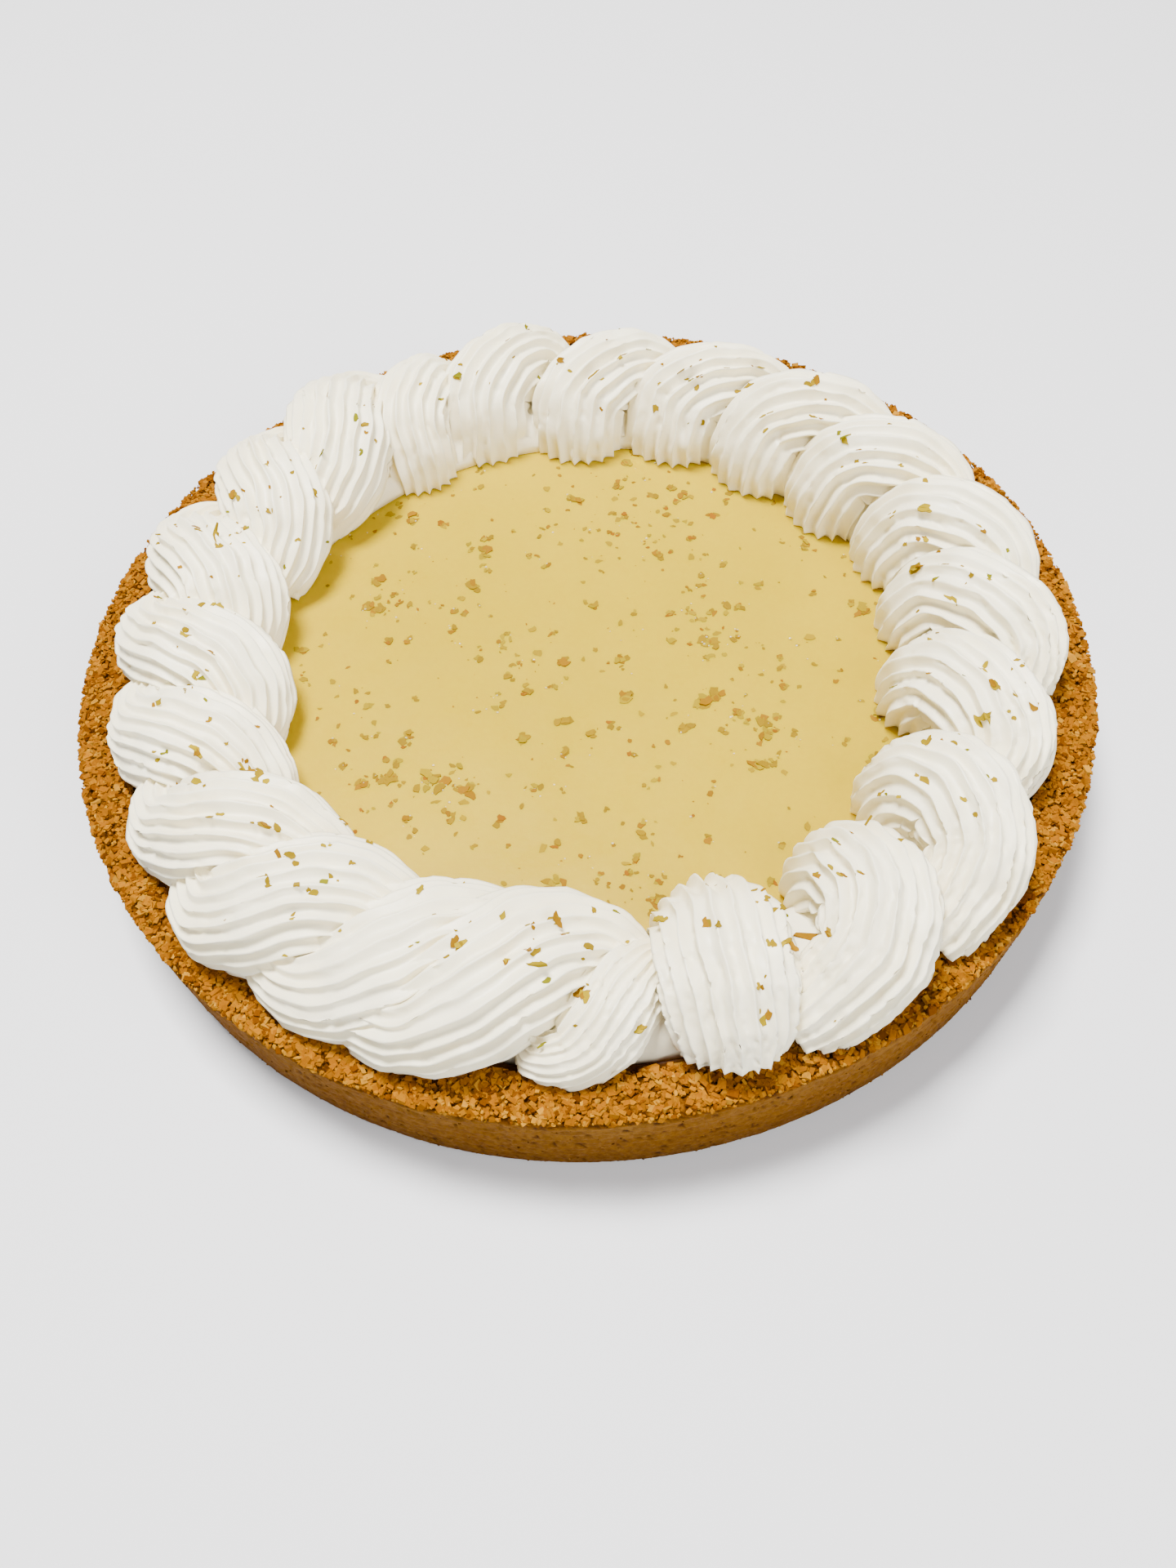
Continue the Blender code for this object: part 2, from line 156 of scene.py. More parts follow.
def smooth_step(low, high, value):
    t = np.clip((value - low) / (high - low), 0.0, 1.0)
    return t * t * (3 - 2 * t)


# %% [markdown]
# ## Shader building blocks
# Crumbs, zest and cream all vary from place to place. A node group that turns Object coordinates
# into a patchy value between two limits is built once and used by every material. Its Flatten
# input squeezes the pattern in height, which turns patches into level streaks.

# %% Node groups
NOISE_LOW = 0.32
NOISE_HIGH = 0.68


def node(tree, kind, **values):
    made = tree.nodes.new(kind)
    for key, value in values.items():
        if key in made.inputs:
            made.inputs[key].default_value = value
        else:
            setattr(made, key, value)
    return made


def patchy_group():
    """Noise on Object coordinates, spread between Low and High."""
    group = bpy.data.node_groups.new("patchy_value", "ShaderNodeTree")
    face = group.interface
    for name in ("Scale", "Detail", "Low", "High", "Flatten"):
        face.new_socket(name, in_out="INPUT", socket_type="NodeSocketFloat")
    face.new_socket("Value", in_out="OUTPUT", socket_type="NodeSocketFloat")
    inside = group.nodes.new("NodeGroupInput")
    outside = group.nodes.new("NodeGroupOutput")
    coords = node(group, "ShaderNodeTexCoord")
    stretch = node(group, "ShaderNodeCombineXYZ", X=1.0, Y=1.0)
    squeeze = node(group, "ShaderNodeVectorMath", operation="MULTIPLY")
    tex = node(group, "ShaderNodeTexNoise")
    spread = node(group, "ShaderNodeMapRange")
    spread.inputs["From Min"].default_value = NOISE_LOW
    spread.inputs["From Max"].default_value = NOISE_HIGH
    link = group.links.new
    link(inside.outputs["Flatten"], stretch.inputs["Z"])
    link(coords.outputs["Object"], squeeze.inputs[0])
    link(stretch.outputs["Vector"], squeeze.inputs[1])
    link(squeeze.outputs["Vector"], tex.inputs["Vector"])
    link(inside.outputs["Scale"], tex.inputs["Scale"])
    link(inside.outputs["Detail"], tex.inputs["Detail"])
    link(tex.outputs["Fac"], spread.inputs["Value"])
    link(inside.outputs["Low"], spread.inputs["To Min"])
    link(inside.outputs["High"], spread.inputs["To Max"])
    link(spread.outputs["Result"], outside.inputs["Value"])
    return group


PATCHY = patchy_group()


def patchy(tree, scale, detail, low, high, flatten=1.0):
    made = tree.nodes.new("ShaderNodeGroup")
    made.node_tree = PATCHY
    values = {"Scale": scale, "Detail": detail, "Low": low, "High": high, "Flatten": flatten}
    for name, value in values.items():
        made.inputs[name].default_value = value
    return made.outputs["Value"]


def new_material(name):
    mat = bpy.data.materials.new(name)
    mat.use_nodes = True
    tree = mat.node_tree
    return mat, tree, tree.nodes["Principled BSDF"]


def ramp(tree, stops, value):
    made = tree.nodes.new("ShaderNodeValToRGB")
    items = made.color_ramp.elements
    while len(items) < len(stops):
        items.new(0.5)
    for item, (place, color) in zip(items, stops):
        item.position = place
        item.color = (*color, 1.0)
    tree.links.new(value, made.inputs["Fac"])
    return made.outputs["Color"]


def mix_color(tree, factor, a, b, blend="MIX"):
    made = node(tree, "ShaderNodeMix", data_type="RGBA", blend_type=blend)
    for socket, value in ((made.inputs[0], factor), (made.inputs[6], a), (made.inputs[7], b)):
        if isinstance(value, (int, float)):
            socket.default_value = value
        elif isinstance(value, tuple):
            socket.default_value = (*value, 1.0)
        else:
            tree.links.new(value, socket)
    return made.outputs[2]


def bump(tree, height, strength, distance_mm, before=None):
    made = node(tree, "ShaderNodeBump")
    made.inputs["Strength"].default_value = strength
    made.inputs["Distance"].default_value = distance_mm * MM
    tree.links.new(height, made.inputs["Height"])
    if before is not None:
        tree.links.new(before, made.inputs["Normal"])
    return made.outputs["Normal"]


def soften(bsdf, weight, radius, scale_mm):
    """Light that enters the food and comes out a few millimetres away."""
    bsdf.inputs["Subsurface Weight"].default_value = weight
    bsdf.inputs["Subsurface Radius"].default_value = radius
    bsdf.inputs["Subsurface Scale"].default_value = scale_mm * MM


print("node group", PATCHY.name, "ready")

# %% [markdown]
# ## Crust: form
# The crust is biscuit crumb pressed into a ring. Its wall is smooth where the ring pressed it,
# and its rim is broken into angular crumbs of 1 to 2 mm. It could be a smooth ring with a bump
# map, but the rim's edge stands against the cream and the floor, so the crumbs have to be real.
# The ring is turned finely, and every vertex is then moved by cells of noise, one cell a crumb.
# The rim is turned a little low, as a bed darkened by painted shade in its pits, and separate crumbs fill it
# up further below.

# %% Turn the crust
RIM_STEP = 0.5
WALL_STEP = 0.85
CRUST_COUNT = 1260
CORNER = 1.3
BED_DEPTH = 0.7


def outline(points, step):
    """Points (r, z) joined by straight runs, cut into equal steps."""
    out = [points[0]]
    for (r0, z0), (r1, z1) in zip(points, points[1:]):
        parts = max(1, round(math.hypot(r1 - r0, z1 - z0) / step))
        for i in range(1, parts + 1):
            out.append((r0 + (r1 - r0) * i / parts, z0 + (z1 - z0) * i / parts))
    return out


def round_corner(r, z, radius, start, end, parts=4):
    """An arc about (r, z), from one angle to another, in degrees."""
    out = []
    for i in range(parts + 1):
        a = math.radians(start + (end - start) * i / parts)
        out.append((r + radius * math.cos(a), z + radius * math.sin(a)))
    return out


wall_line = outline([(BASE_OUTER_R - 1.2, 0.0), (BASE_OUTER_R, 1.2), (BASE_OUTER_R + 0.5, 10.0),
                     (RIM_OUTER_R - 0.1, RIM_Z - 4.0)], WALL_STEP)
rim_line = outline([wall_line[-1]]
                   + round_corner(RIM_OUTER_R - CORNER, RIM_Z - BED_DEPTH - CORNER, CORNER, 0, 90)
                   + round_corner(RIM_INNER_R + CORNER, RIM_Z - BED_DEPTH - CORNER, CORNER, 90, 180)
                   + [(RIM_INNER_R, FILL_TOP_Z + 0.4)], RIM_STEP)
inside_line = [(RIM_INNER_R - 0.4, 20.0), (RIM_INNER_R - 1.4, FLOOR_Z), (60.0, FLOOR_Z)]
base_line = [(40.0, 0.0), (100.0, 0.0)]
crust = ring_solid("crust_shell", base_line + wall_line + rim_line[1:] + inside_line, CRUST_COUNT)
print("crust has", len(crust.data.vertices), "points")

# %% [markdown]
# ### Crumbs in the surface
# Voronoi noise gives each vertex the nearest cell centre, and how far the next one is. Each cell
# is one crumb: a facet that stands out or sinks, tilted its own way, with a narrow pit where
# crumbs meet. Two sizes are laid over each other. The same numbers are kept in a colour
# attribute, so that the material can colour each crumb and paint shade into each pit.

# %% Press crumbs into the crust
BIG_CRUMB = 2.3
SMALL_CRUMB = 1.2
RIM_RELIEF = 0.6
WALL_RELIEF = 0.28
RIM_WAVE = 1.2
SHAKE = 0.6
MAX_R = 126.75


def cell_values(centre):
    """Three steady random numbers from 0 to 1 for a cell centre."""
    out = []
    for k in (12.9898, 39.346, 73.156):
        s = math.sin(centre.x * k + centre.y * 78.233 + centre.z * 37.719) * 43758.5453
        out.append(s - math.floor(s))
    return out


def crumb_at(place, size):
    """Height of the facet there from 0 to 1, the crumb's own value, and nearness to a pit."""
    dist, centres = noise.voronoi(place / size)
    a, b, c = cell_values(centres[0])
    away = place / size - centres[0]
    tilt = (a - 0.5) * away.x + (b - 0.5) * away.y + (c - 0.5) * away.z
    pit = 1.0 - smooth_step(0.03, 0.24, dist[1] - dist[0])
    return 0.5 + 0.55 * (a - 0.5) + 1.15 * tilt, b, pit


def crumble(ob):
    co = positions(ob)
    moved = co.copy()
    shade = np.zeros((len(co), 4))
    middle = 0.5 * (RIM_OUTER_R + RIM_INNER_R)
    for i, (x, y, z) in enumerate(co):
        r = math.hypot(x, y)
        if r < RIM_INNER_R - 1.0 or z < 0.05:
            # Inside the ring and underneath: no relief, and an even 30 per cent of the painted pit shade.
            shade[i] = (0.5, 0.3, 0.0, 1.0)
            continue
        place = Vector((x, y, z))
        ux, uy = x / r, y / r
        wave = RIM_WAVE * noise.noise(place * 0.11)
        rim = smooth_step(RIM_Z - 3.4, RIM_Z - 1.9, z + 0.7 * wave)
        shaken = place + noise.noise_vector(place * 0.5) * SHAKE
        big, own, pit = crumb_at(shaken, BIG_CRUMB)
        small, own_small, pit_small = crumb_at(shaken, SMALL_CRUMB)
        streak = noise.noise(Vector((x * 0.12, y * 0.12, z * 0.7)))
        rough = RIM_RELIEF * ((big - 0.62) + 0.42 * (small - 0.5) - 0.5 * pit - 0.2 * pit_small)
        hole = smooth_step(0.90, 0.97, own_small) * (1 - pit_small)
        smooth = WALL_RELIEF * ((big - 0.5) * 0.8 + streak * 1.6 - 0.6 * pit) - 0.42 * hole
        lift = rough * rim + smooth * (1 - rim)
        if r > middle:
            side = smooth_step(RIM_OUTER_R - 1.9, RIM_OUTER_R - 0.3, r)
        else:
            side = -smooth_step(RIM_INNER_R + 1.9, RIM_INNER_R + 0.2, r)
        top = rim * (1 - 0.6 * abs(side))
        out = side * lift + 0.35 * wave * rim * (1.0 if side < 0 else 0.3)
        out = min(out, MAX_R - r)
        moved[i, 0] += ux * out
        moved[i, 1] += uy * out
        moved[i, 2] += top * (lift + 0.3 * wave)
        # Painted shade: darker in the pits between crumbs, and on the wall in its holes too.
        painted_pit_shade = rim * max(pit, 0.7 * pit_small) + (1 - rim) * max(0.25 * pit, hole)
        shade[i] = (own, painted_pit_shade, own_small, rim)
    set_positions(ob, moved)
    set_colors(ob, "crumb", shade)


crumble(crust)
print("crumbled", crust.name)

# %% [markdown]
# ### Crust colours
# Baked crumb is golden tan, each crumb a little lighter or darker, with painted shade in the
# pits. The wall is paler below the rim, streaked level where the ring pressed it, and browner
# at the foot, partly its own colour and partly painted shade.
# The colour comes from the attribute, with fine grain on top from noise.

# %% Crust material
# Painted shade for the pits between crumbs and the holes of the wall.
CRUST_PIT_SHADE = (0.035, 0.010, 0.001)
CRUST_LOW = (0.10, 0.030, 0.001)
CRUST_MID = (0.18, 0.060, 0.001)
CRUST_LIGHT = (0.28, 0.105, 0.002)
# The wall colours are dark, darkest at the foot: partly the crust's own colour, partly painted shade for the
# little light that bounces up onto the wall.
WALL_PALE = (0.22, 0.099, 0.013)
WALL_MIDDLE = (0.13, 0.050, 0.002)
WALL_BROWN_AND_SHADE = (0.065, 0.022, 0.001)
WALL_STREAK = (0.10, 0.034, 0.002)
BROWNED = (0.12, 0.036, 0.001)


def crumb_tint(tree, value):
    return ramp(tree, [(0.0, CRUST_LOW), (0.45, CRUST_MID), (1.0, CRUST_LIGHT)], value)


def crust_material():
    mat, tree, bsdf = new_material("baked_crumb")
    link = tree.links.new
    attribute = node(tree, "ShaderNodeAttribute", attribute_name="crumb")
    parts = node(tree, "ShaderNodeSeparateColor")
    link(attribute.outputs["Color"], parts.inputs["Color"])
    both = node(tree, "ShaderNodeMix", data_type="FLOAT")
    both.inputs[0].default_value = 0.5
    link(parts.outputs["Red"], both.inputs[2])
    link(parts.outputs["Blue"], both.inputs[3])
    rim = mix_color(tree, patchy(tree, 1500.0, 2.0, 0.0, 0.3), crumb_tint(tree, both.outputs[0]), CRUST_LIGHT)
    place = node(tree, "ShaderNodeTexCoord")
    axes = node(tree, "ShaderNodeSeparateXYZ")
    link(place.outputs["Object"], axes.inputs["Vector"])
    # Pale below the rim, dark at the foot: partly the crust's own colour, partly painted shade.
    height = node(tree, "ShaderNodeMapRange")
    height.inputs["From Max"].default_value = (RIM_Z - 2.0) * MM
    link(axes.outputs["Z"], height.inputs["Value"])
    wall = ramp(tree, [(0.0, WALL_BROWN_AND_SHADE), (0.5, WALL_MIDDLE), (1.0, WALL_PALE)], height.outputs["Result"])
    streaked = mix_color(tree, patchy(tree, 95.0, 4.0, 0.0, 0.6, 7.0), wall, WALL_STREAK)
    grainy = mix_color(tree, patchy(tree, 800.0, 3.0, 0.0, 0.45), streaked, WALL_PALE)
    skin = mix_color(tree, attribute.outputs["Alpha"], grainy, rim)
    # Painted shade: the pits and the holes of the wall are darkened here.
    pits = mix_color(tree, parts.outputs["Green"], skin, CRUST_PIT_SHADE)
    browned = mix_color(tree, patchy(tree, 42.0, 4.0, 0.0, 0.3), pits, BROWNED)
    link(browned, bsdf.inputs["Base Color"])
    link(patchy(tree, 900.0, 2.0, 0.62, 0.9), bsdf.inputs["Roughness"])
    link(bump(tree, patchy(tree, 1900.0, 4.0, 0.0, 1.0), 0.5, 0.2), bsdf.inputs["Normal"])
    bsdf.inputs["Specular IOR Level"].default_value = 0.02
    soften(bsdf, 0.08, (1.0, 0.5, 0.2), 1.5)
    return mat


finish_piece(crust, crust_material(), "crumb_crust", "crust")

# %% [markdown]
# ## Filling
# The filling is set lime custard: flat, with a soft gloss, and very slightly wavy where it
# settled. A turned disc with fine rings takes the waves as a real shape, so that reflections
# bend on it.

# %% Pour the filling
FILL_COUNT = 360
FILL_STEP = 1.5
FILL_STEPS = 74
fill_r = RIM_INNER_R - FIT_GAP
fill_rings = [(50.0, FLOOR_Z + FIT_GAP), (fill_r - 2.4, FLOOR_Z + FIT_GAP), (fill_r - 0.4, FILL_TOP_Z - 0.8),
              (fill_r - 1.0, FILL_TOP_Z)]
fill_rings += [(fill_r - 1.0 - FILL_STEP * i, FILL_TOP_Z) for i in range(1, FILL_STEPS + 1)]
filling = ring_solid("lime_filling", fill_rings, FILL_COUNT)
fill_co = positions(filling)
for point in fill_co:
    if point[2] > FILL_TOP_Z - 0.1:
        place = Vector((point[0], point[1], 0.0))
        point[2] += 0.16 * noise.noise(place * 0.045) + 0.03 * noise.noise(place * 0.35) - 0.1
set_positions(filling, fill_co)
# The outermost few millimetres, under the cream, are painted brown: painted shade where the cream overhangs
# the gap by the rim.
painted_edge_shade = smooth_step(fill_r - 5.5, fill_r - 3.0, np.hypot(fill_co[:, 0], fill_co[:, 1]))
set_colors(filling, "painted_edge_shade", np.tile(painted_edge_shade[:, None], (1, 4)))
print("filling has", len(fill_co), "points")

# %% Filling material
FILLING_DEEP = (0.45, 0.312, 0.0)
FILLING_PALE = (0.49, 0.340, 0.0)
FILLING_SPECK = (0.38, 0.25, 0.0)


def filling_material():
    mat, tree, bsdf = new_material("lime_custard")
    link = tree.links.new
    base = mix_color(tree, patchy(tree, 28.0, 3.0, 0.0, 1.0), FILLING_DEEP, FILLING_PALE)
    specks = mix_color(tree, patchy(tree, 700.0, 2.0, 0.0, 0.14), base, FILLING_SPECK)
    painted_edge_shade_mask = node(tree, "ShaderNodeAttribute", attribute_name="painted_edge_shade")
    # Painted shade at the edge under the cream, in the crust's low brown.
    edged = mix_color(tree, painted_edge_shade_mask.outputs["Fac"], specks, CRUST_LOW)
    link(edged, bsdf.inputs["Base Color"])
    link(patchy(tree, 90.0, 3.0, 0.26, 0.38), bsdf.inputs["Roughness"])
    bsdf.inputs["Specular IOR Level"].default_value = 0.1
    soften(bsdf, 0.55, (1.0, 0.62, 0.15), 4.0)
    link(bump(tree, patchy(tree, 420.0, 3.0, 0.0, 1.0), 0.12, 0.12), bsdf.inputs["Normal"])
    return mat


finish_piece(filling, filling_material(), "lime_filling", "filling")

# %% [markdown]
# ## Piped cream: the strand
# The border is piped through a star nozzle. On the right and at the back each loop is a shell:
# the strand stands up from the filling, bends outward and runs clockwise into the next. On the
# left and at the front the loops are those of a rope, which start at a notch on the outside and
# cross over to the inside. A curve with a star-shaped bevel could make one, but it folds over
# itself in so tight a bend. So the strand is swept here by hand: rings of a star profile along a
# path, and the inside of the bend squeezed so that the ridges meet in a point.

# %% Paths of the loops
# Rows of a path: outward, forward and upward from the loop's centre on the filling, and the
# radius of the strand there, in mm.
SHELL_PATH = [
    (-9.0, -7.5, -4.0, 12.0),
    (-9.0, -7.5, 6.0, 12.5),
    (-4.0, -6.0, 13.0, 13.0),
    (3.5, 0.5, 15.2, 12.8),
    (8.0, 7.5, 13.0, 11.5),
    (6.5, 14.5, 7.0, 9.5),
]
ROPE_PATH = [
    (1.0, -15.0, 4.0, 8.0),
    (7.5, -14.0, 6.0, 10.0),
    (9.5, -7.0, 8.5, 11.5),
    (5.5, 0.0, 12.0, 12.8),
    (-0.5, 5.0, 13.7, 13.0),
    (-7.0, 10.0, 12.8, 13.0),
    (-11.0, 17.0, 9.0, 12.0),
    (-9.5, 25.0, 3.0, 10.0),
]
HOOK_PATH = [
    (-9.5, -5.5, -4.0, 12.0),
    (-9.5, -5.5, 6.0, 12.5),
    (-5.0, -6.0, 12.5, 13.0),
    (2.5, -3.5, 15.0, 13.0),
    (9.0, 4.0, 12.5, 12.0),
    (10.0, 13.0, 8.0, 10.5),
    (8.0, 20.0, 3.0, 9.0),
]
TAIL_PATH = [
    (-10.0, -1.0, -4.0, 12.0),
    (-10.0, -1.0, 6.0, 12.8),
    (-5.0, -1.0, 12.5, 13.5),
    (2.0, 0.0, 14.5, 13.5),
    (9.0, 1.0, 11.5, 12.5),
    (14.0, 2.0, 5.0, 10.0),
]
PATHS = {"shell": SHELL_PATH, "rope": ROPE_PATH, "hook": HOOK_PATH, "tail": TAIL_PATH}
# Shells, hooks and the tail follow one another clockwise seen from above, rope loops
# counter-clockwise.
FORWARD = {"shell": -1.0, "rope": 1.0, "hook": -1.0, "tail": -1.0}
RIDGES = {"shell": 20, "rope": 24, "hook": 20, "tail": 22}
# A rope is wider than high.
WIDEN = {"shell": 1.0, "rope": 1.2, "hook": 1.0, "tail": 1.0}

# Rows of a run: kind, angle of the centre, its distance from the axis, scale outward, scale
# forward, scale upward, turn about the vertical
RIGHT_RUN = [
    ("shell", 117, 92, 0.90, 0.95, 0.92, 5),
    ("shell", 101, 94, 0.93, 1.10, 0.97, 0),
    ("shell", 82, 89, 0.96, 1.12, 0.95, 0),
    ("shell", 63, 91, 0.95, 1.20, 0.93, 0),
    ("shell", 44, 91, 1.00, 1.18, 1.00, 0),
    ("shell", 27, 93, 1.00, 1.15, 1.00, 3),
    ("shell", 10, 97, 1.00, 1.12, 1.00, 0),
    ("shell", -6, 97, 1.06, 1.10, 1.00, 0),
    ("shell", -22, 96, 1.05, 1.10, 0.92, 0),
    ("hook", -41, 101, 1.03, 1.08, 1.00, 4),
    ("hook", -59, 103, 1.03, 1.05, 1.00, 0),
    ("tail", -76, 101, 1.03, 1.14, 1.00, 0),
]
LEFT_RUN = [
    ("rope", 129, 97, 1.00, 1.00, 1.05, 0),
    ("rope", 146, 96, 0.92, 1.00, 1.04, 6),
    ("rope", 164, 97, 0.95, 0.95, 1.00, 0),
    ("rope", 181, 95, 0.98, 0.96, 0.97, 0),
    ("rope", 197, 98, 0.86, 1.00, 0.92, 0),
    ("rope", 214, 99, 0.88, 1.00, 0.98, 0),
    ("rope", 228, 101, 0.96, 0.98, 1.00, -4),
    ("rope", 243, 100, 0.95, 1.15, 0.88, 0),
    ("rope", 254, 100, 0.97, 1.15, 0.95, 0),
    ("rope", 269, 105, 0.60, 0.70, 0.72, 10),
]
print(len(RIGHT_RUN), "shells and", len(LEFT_RUN), "rope loops")

# %% Frame of a path
UP = np.array([0.0, 0.0, 1.0])


def smooth_path(rows, count):
    """A Catmull-Rom curve through the rows."""
    rows = np.array(rows, float)
    last = len(rows) - 1
    out = np.zeros((count, rows.shape[1]))
    for n in range(count):
        t = last * n / (count - 1)
        i = min(int(t), last - 1)
        f = t - i
        before = rows[i - 1] if i > 0 else 2 * rows[0] - rows[1]
        after = rows[i + 2] if i + 2 <= last else 2 * rows[-1] - rows[-2]
        a = rows[i]
        b = rows[i + 1]
        out[n] = 0.5 * (2 * a + (b - before) * f + (2 * before - 5 * a + 4 * b - after) * f * f
                        + (3 * a - before - 3 * b + after) * f ** 3)
    return out


def strand_frame(points):
    """Two directions across the strand that don't twist along it, how it bends, and its course."""
    tangent = np.gradient(points, axis=0)
    length = np.linalg.norm(tangent, axis=1)
    tangent = tangent / length[:, None]
    bend = np.gradient(tangent, axis=0) / length[:, None]
    bend = bend - (bend * tangent).sum(1)[:, None] * tangent
    for step in range(3):
        bend[1:-1] = 0.25 * bend[:-2] + 0.5 * bend[1:-1] + 0.25 * bend[2:]
    normal = np.zeros_like(points)
    guide = UP if abs(tangent[0, 2]) < 0.8 else np.array([1.0, 0.0, 0.0])
    first = guide - (guide @ tangent[0]) * tangent[0]
    normal[0] = first / np.linalg.norm(first)
    for i in range(1, len(points)):
        vec = normal[i - 1] - (normal[i - 1] @ tangent[i]) * tangent[i]
        normal[i] = vec / np.linalg.norm(vec)
    return normal, np.cross(tangent, normal), bend, tangent


print("a shell's path is", round(float(np.linalg.norm(np.diff(smooth_path(SHELL_PATH, 50)[:, :3], axis=0),
                                                     axis=1).sum())), "mm long")

# %% [markdown]
# The star profile has sharp crests and wide round valleys. No ridge is quite like its
# neighbour: each has its own height, and the whole star sways a little along the strand.

# %% Sweep a ridged strand
RIDGE_DEPTH = {"shell": 0.19, "rope": 0.155, "hook": 0.19, "tail": 0.18}
RIDGE_SHARP = 1.1
RIDGE_UNEVEN = 0.05
DRAG_LINES = 0.012
DEPTH_STEPS = 4
ALONG = 72
POINTS_PER_RIDGE = 14


def squeeze(offsets, bend):
    tight = np.linalg.norm(bend)
    if tight < 1e-6:
        return offsets
    inward = bend / tight
    reach = offsets @ inward
    limit = 0.92 / tight
    free = 0.45 * limit
    room = limit - free
    squeezed = free + room * (1 - np.exp(-(reach - free) / room))
    return offsets + (np.where(reach > free, squeezed, reach) - reach)[:, None] * inward


def widen(offsets, tangent, factor):
    level = np.cross(UP, tangent)
    length = np.linalg.norm(level)
    if length < 0.2:
        return offsets
    level = level / length
    return offsets + ((factor - 1.0) * (offsets @ level))[:, None] * level


def round_profile(values, at):
    """A value per ridge, run smoothly round the strand."""
    return np.interp(at, np.arange(len(values) + 1), np.append(values, values[0]))


def drag_profile(count):
    """Fine lines that the nozzle drags along the strand, from 0 to 1 round the profile."""
    rough = draw.random(count)
    soft = 0.25 * np.roll(rough, 1) + 0.5 * rough + 0.25 * np.roll(rough, -1)
    return (soft - soft.min()) / (soft.max() - soft.min())


def strand(row):
    kind, angle, dist, out_scale, fwd_scale, up_scale, turn = row
    rows = smooth_path(PATHS[kind], ALONG)
    points = rows[:, :3]
    normal, cross, bend, tangent = strand_frame(points)
    ridges = RIDGES[kind]
    count = ridges * POINTS_PER_RIDGE
    phi = 2 * math.pi * np.arange(count) / count
    crest = 1 - RIDGE_UNEVEN * draw.random(ridges)
    at = np.arange(count) / POINTS_PER_RIDGE
    crest = round_profile(crest, at)
    depths = [round_profile(draw.uniform(0.35, 1.25, ridges), at) for step in range(DEPTH_STEPS + 1)]
    lines = drag_profile(count)
    later_lines = drag_profile(count)
    sway = draw.uniform(0, 2 * math.pi, 2)
    local = np.zeros((ALONG, count, 3))
    for i in range(ALONG):
        t = i / (ALONG - 1)
        drift = 0.035 * math.sin(5 * t + sway[0]) + 0.02 * math.sin(11 * t + sway[1])
        step = min(int(t * DEPTH_STEPS), DEPTH_STEPS - 1)
        blend = smooth_step(0.0, 1.0, t * DEPTH_STEPS - step)
        depth = RIDGE_DEPTH[kind] * ((1 - blend) * depths[step] + blend * depths[step + 1])
        star = crest - depth * np.abs(np.sin(ridges * phi / 2)) ** RIDGE_SHARP
        star = star - DRAG_LINES * ((1 - t) * lines + t * later_lines)
        turned = phi + drift
        offsets = (np.cos(turned)[:, None] * normal[i] + np.sin(turned)[:, None] * cross[i]) * star[:, None]
        offsets = squeeze(offsets * rows[i, 3], bend[i])
        local[i] = points[i] + widen(offsets, tangent[i], WIDEN[kind])
    flat = np.vstack([local.reshape(-1, 3), points[0], points[-1]])
    a = math.radians(angle)
    t = a + math.radians(turn)
    out_dir = np.array([math.cos(t), math.sin(t), 0.0]) * out_scale
    fwd_dir = np.array([-math.sin(t), math.cos(t), 0.0]) * fwd_scale * FORWARD[kind]
    centre = np.array([dist * math.cos(a), dist * math.sin(a), FILL_TOP_Z])
    verts = centre + flat[:, 0:1] * out_dir + flat[:, 1:2] * fwd_dir + flat[:, 2:3] * up_scale * UP
    faces = []
    for i in range(ALONG - 1):
        for j in range(count):
            k = (j + 1) % count
            faces.append((i * count + j, i * count + k, (i + 1) * count + k, (i + 1) * count + j))
    first = ALONG * count
    for j in range(count):
        k = (j + 1) % count
        faces.append((first, k, j))
        faces.append((first + 1, (ALONG - 1) * count + j, (ALONG - 1) * count + k))
    return verts, faces


print("each shell has", RIDGES["shell"] * POINTS_PER_RIDGE * ALONG, "points")

# %% [markdown]
# ### Joining the loops
# Loops that only overlap would let light run through the walls hidden inside. A Boolean union
# makes one skin of each run, and a second Boolean cuts the underside level with the filling and
# over the rim of the crust. A plain ring of cream under the humps of the first run closes the
# gaps between their feet.

# %% Pipe both runs
# The border lies a little nearer the front than the crust, and the core nearer still.
BORDER_SHIFT_Y = -4.5
CORE_SHIFT_Y = -7.0
CORE_R = 95.0
CORE_HALF_WIDTH = 11.2
CORE_TOP = 9.5


def core_ring():
    bpy.ops.object.select_all(action="DESELECT")
    bpy.ops.mesh.primitive_torus_add(major_segments=200, minor_segments=28, major_radius=CORE_R * MM,
                                     minor_radius=CORE_HALF_WIDTH * MM,
                                     location=(0, CORE_SHIFT_Y * MM, FILL_TOP_Z * MM))
    ring = bpy.context.object
    ring.scale = (1.0, 1.0, CORE_TOP / CORE_HALF_WIDTH)
    bpy.ops.object.transform_apply(location=True, scale=True)
    return ring


def apply_boolean(ob, operation, other=None, collection=None):
    mod = ob.modifiers.new(operation.lower(), "BOOLEAN")
    mod.operation = operation
    mod.solver = "MANIFOLD"
    if collection is not None:
        mod.operand_type = "COLLECTION"
        mod.collection = collection
    else:
        mod.object = other
    only(ob)
    bpy.ops.object.modifier_apply(modifier=mod.name)


def underside():
    """What the cream mustn't reach: all below the filling's surface and the crust's rim."""
    step_r = RIM_INNER_R - 0.9
    low = FILL_TOP_Z + 0.2
    high = RIM_Z + 0.6
    return ring_solid("cream_underside", [(60.0, low - 40), (step_r + 40, low - 40), (step_r + 40, high),
                                          (step_r, high), (step_r, low), (60.0, low)], 160)


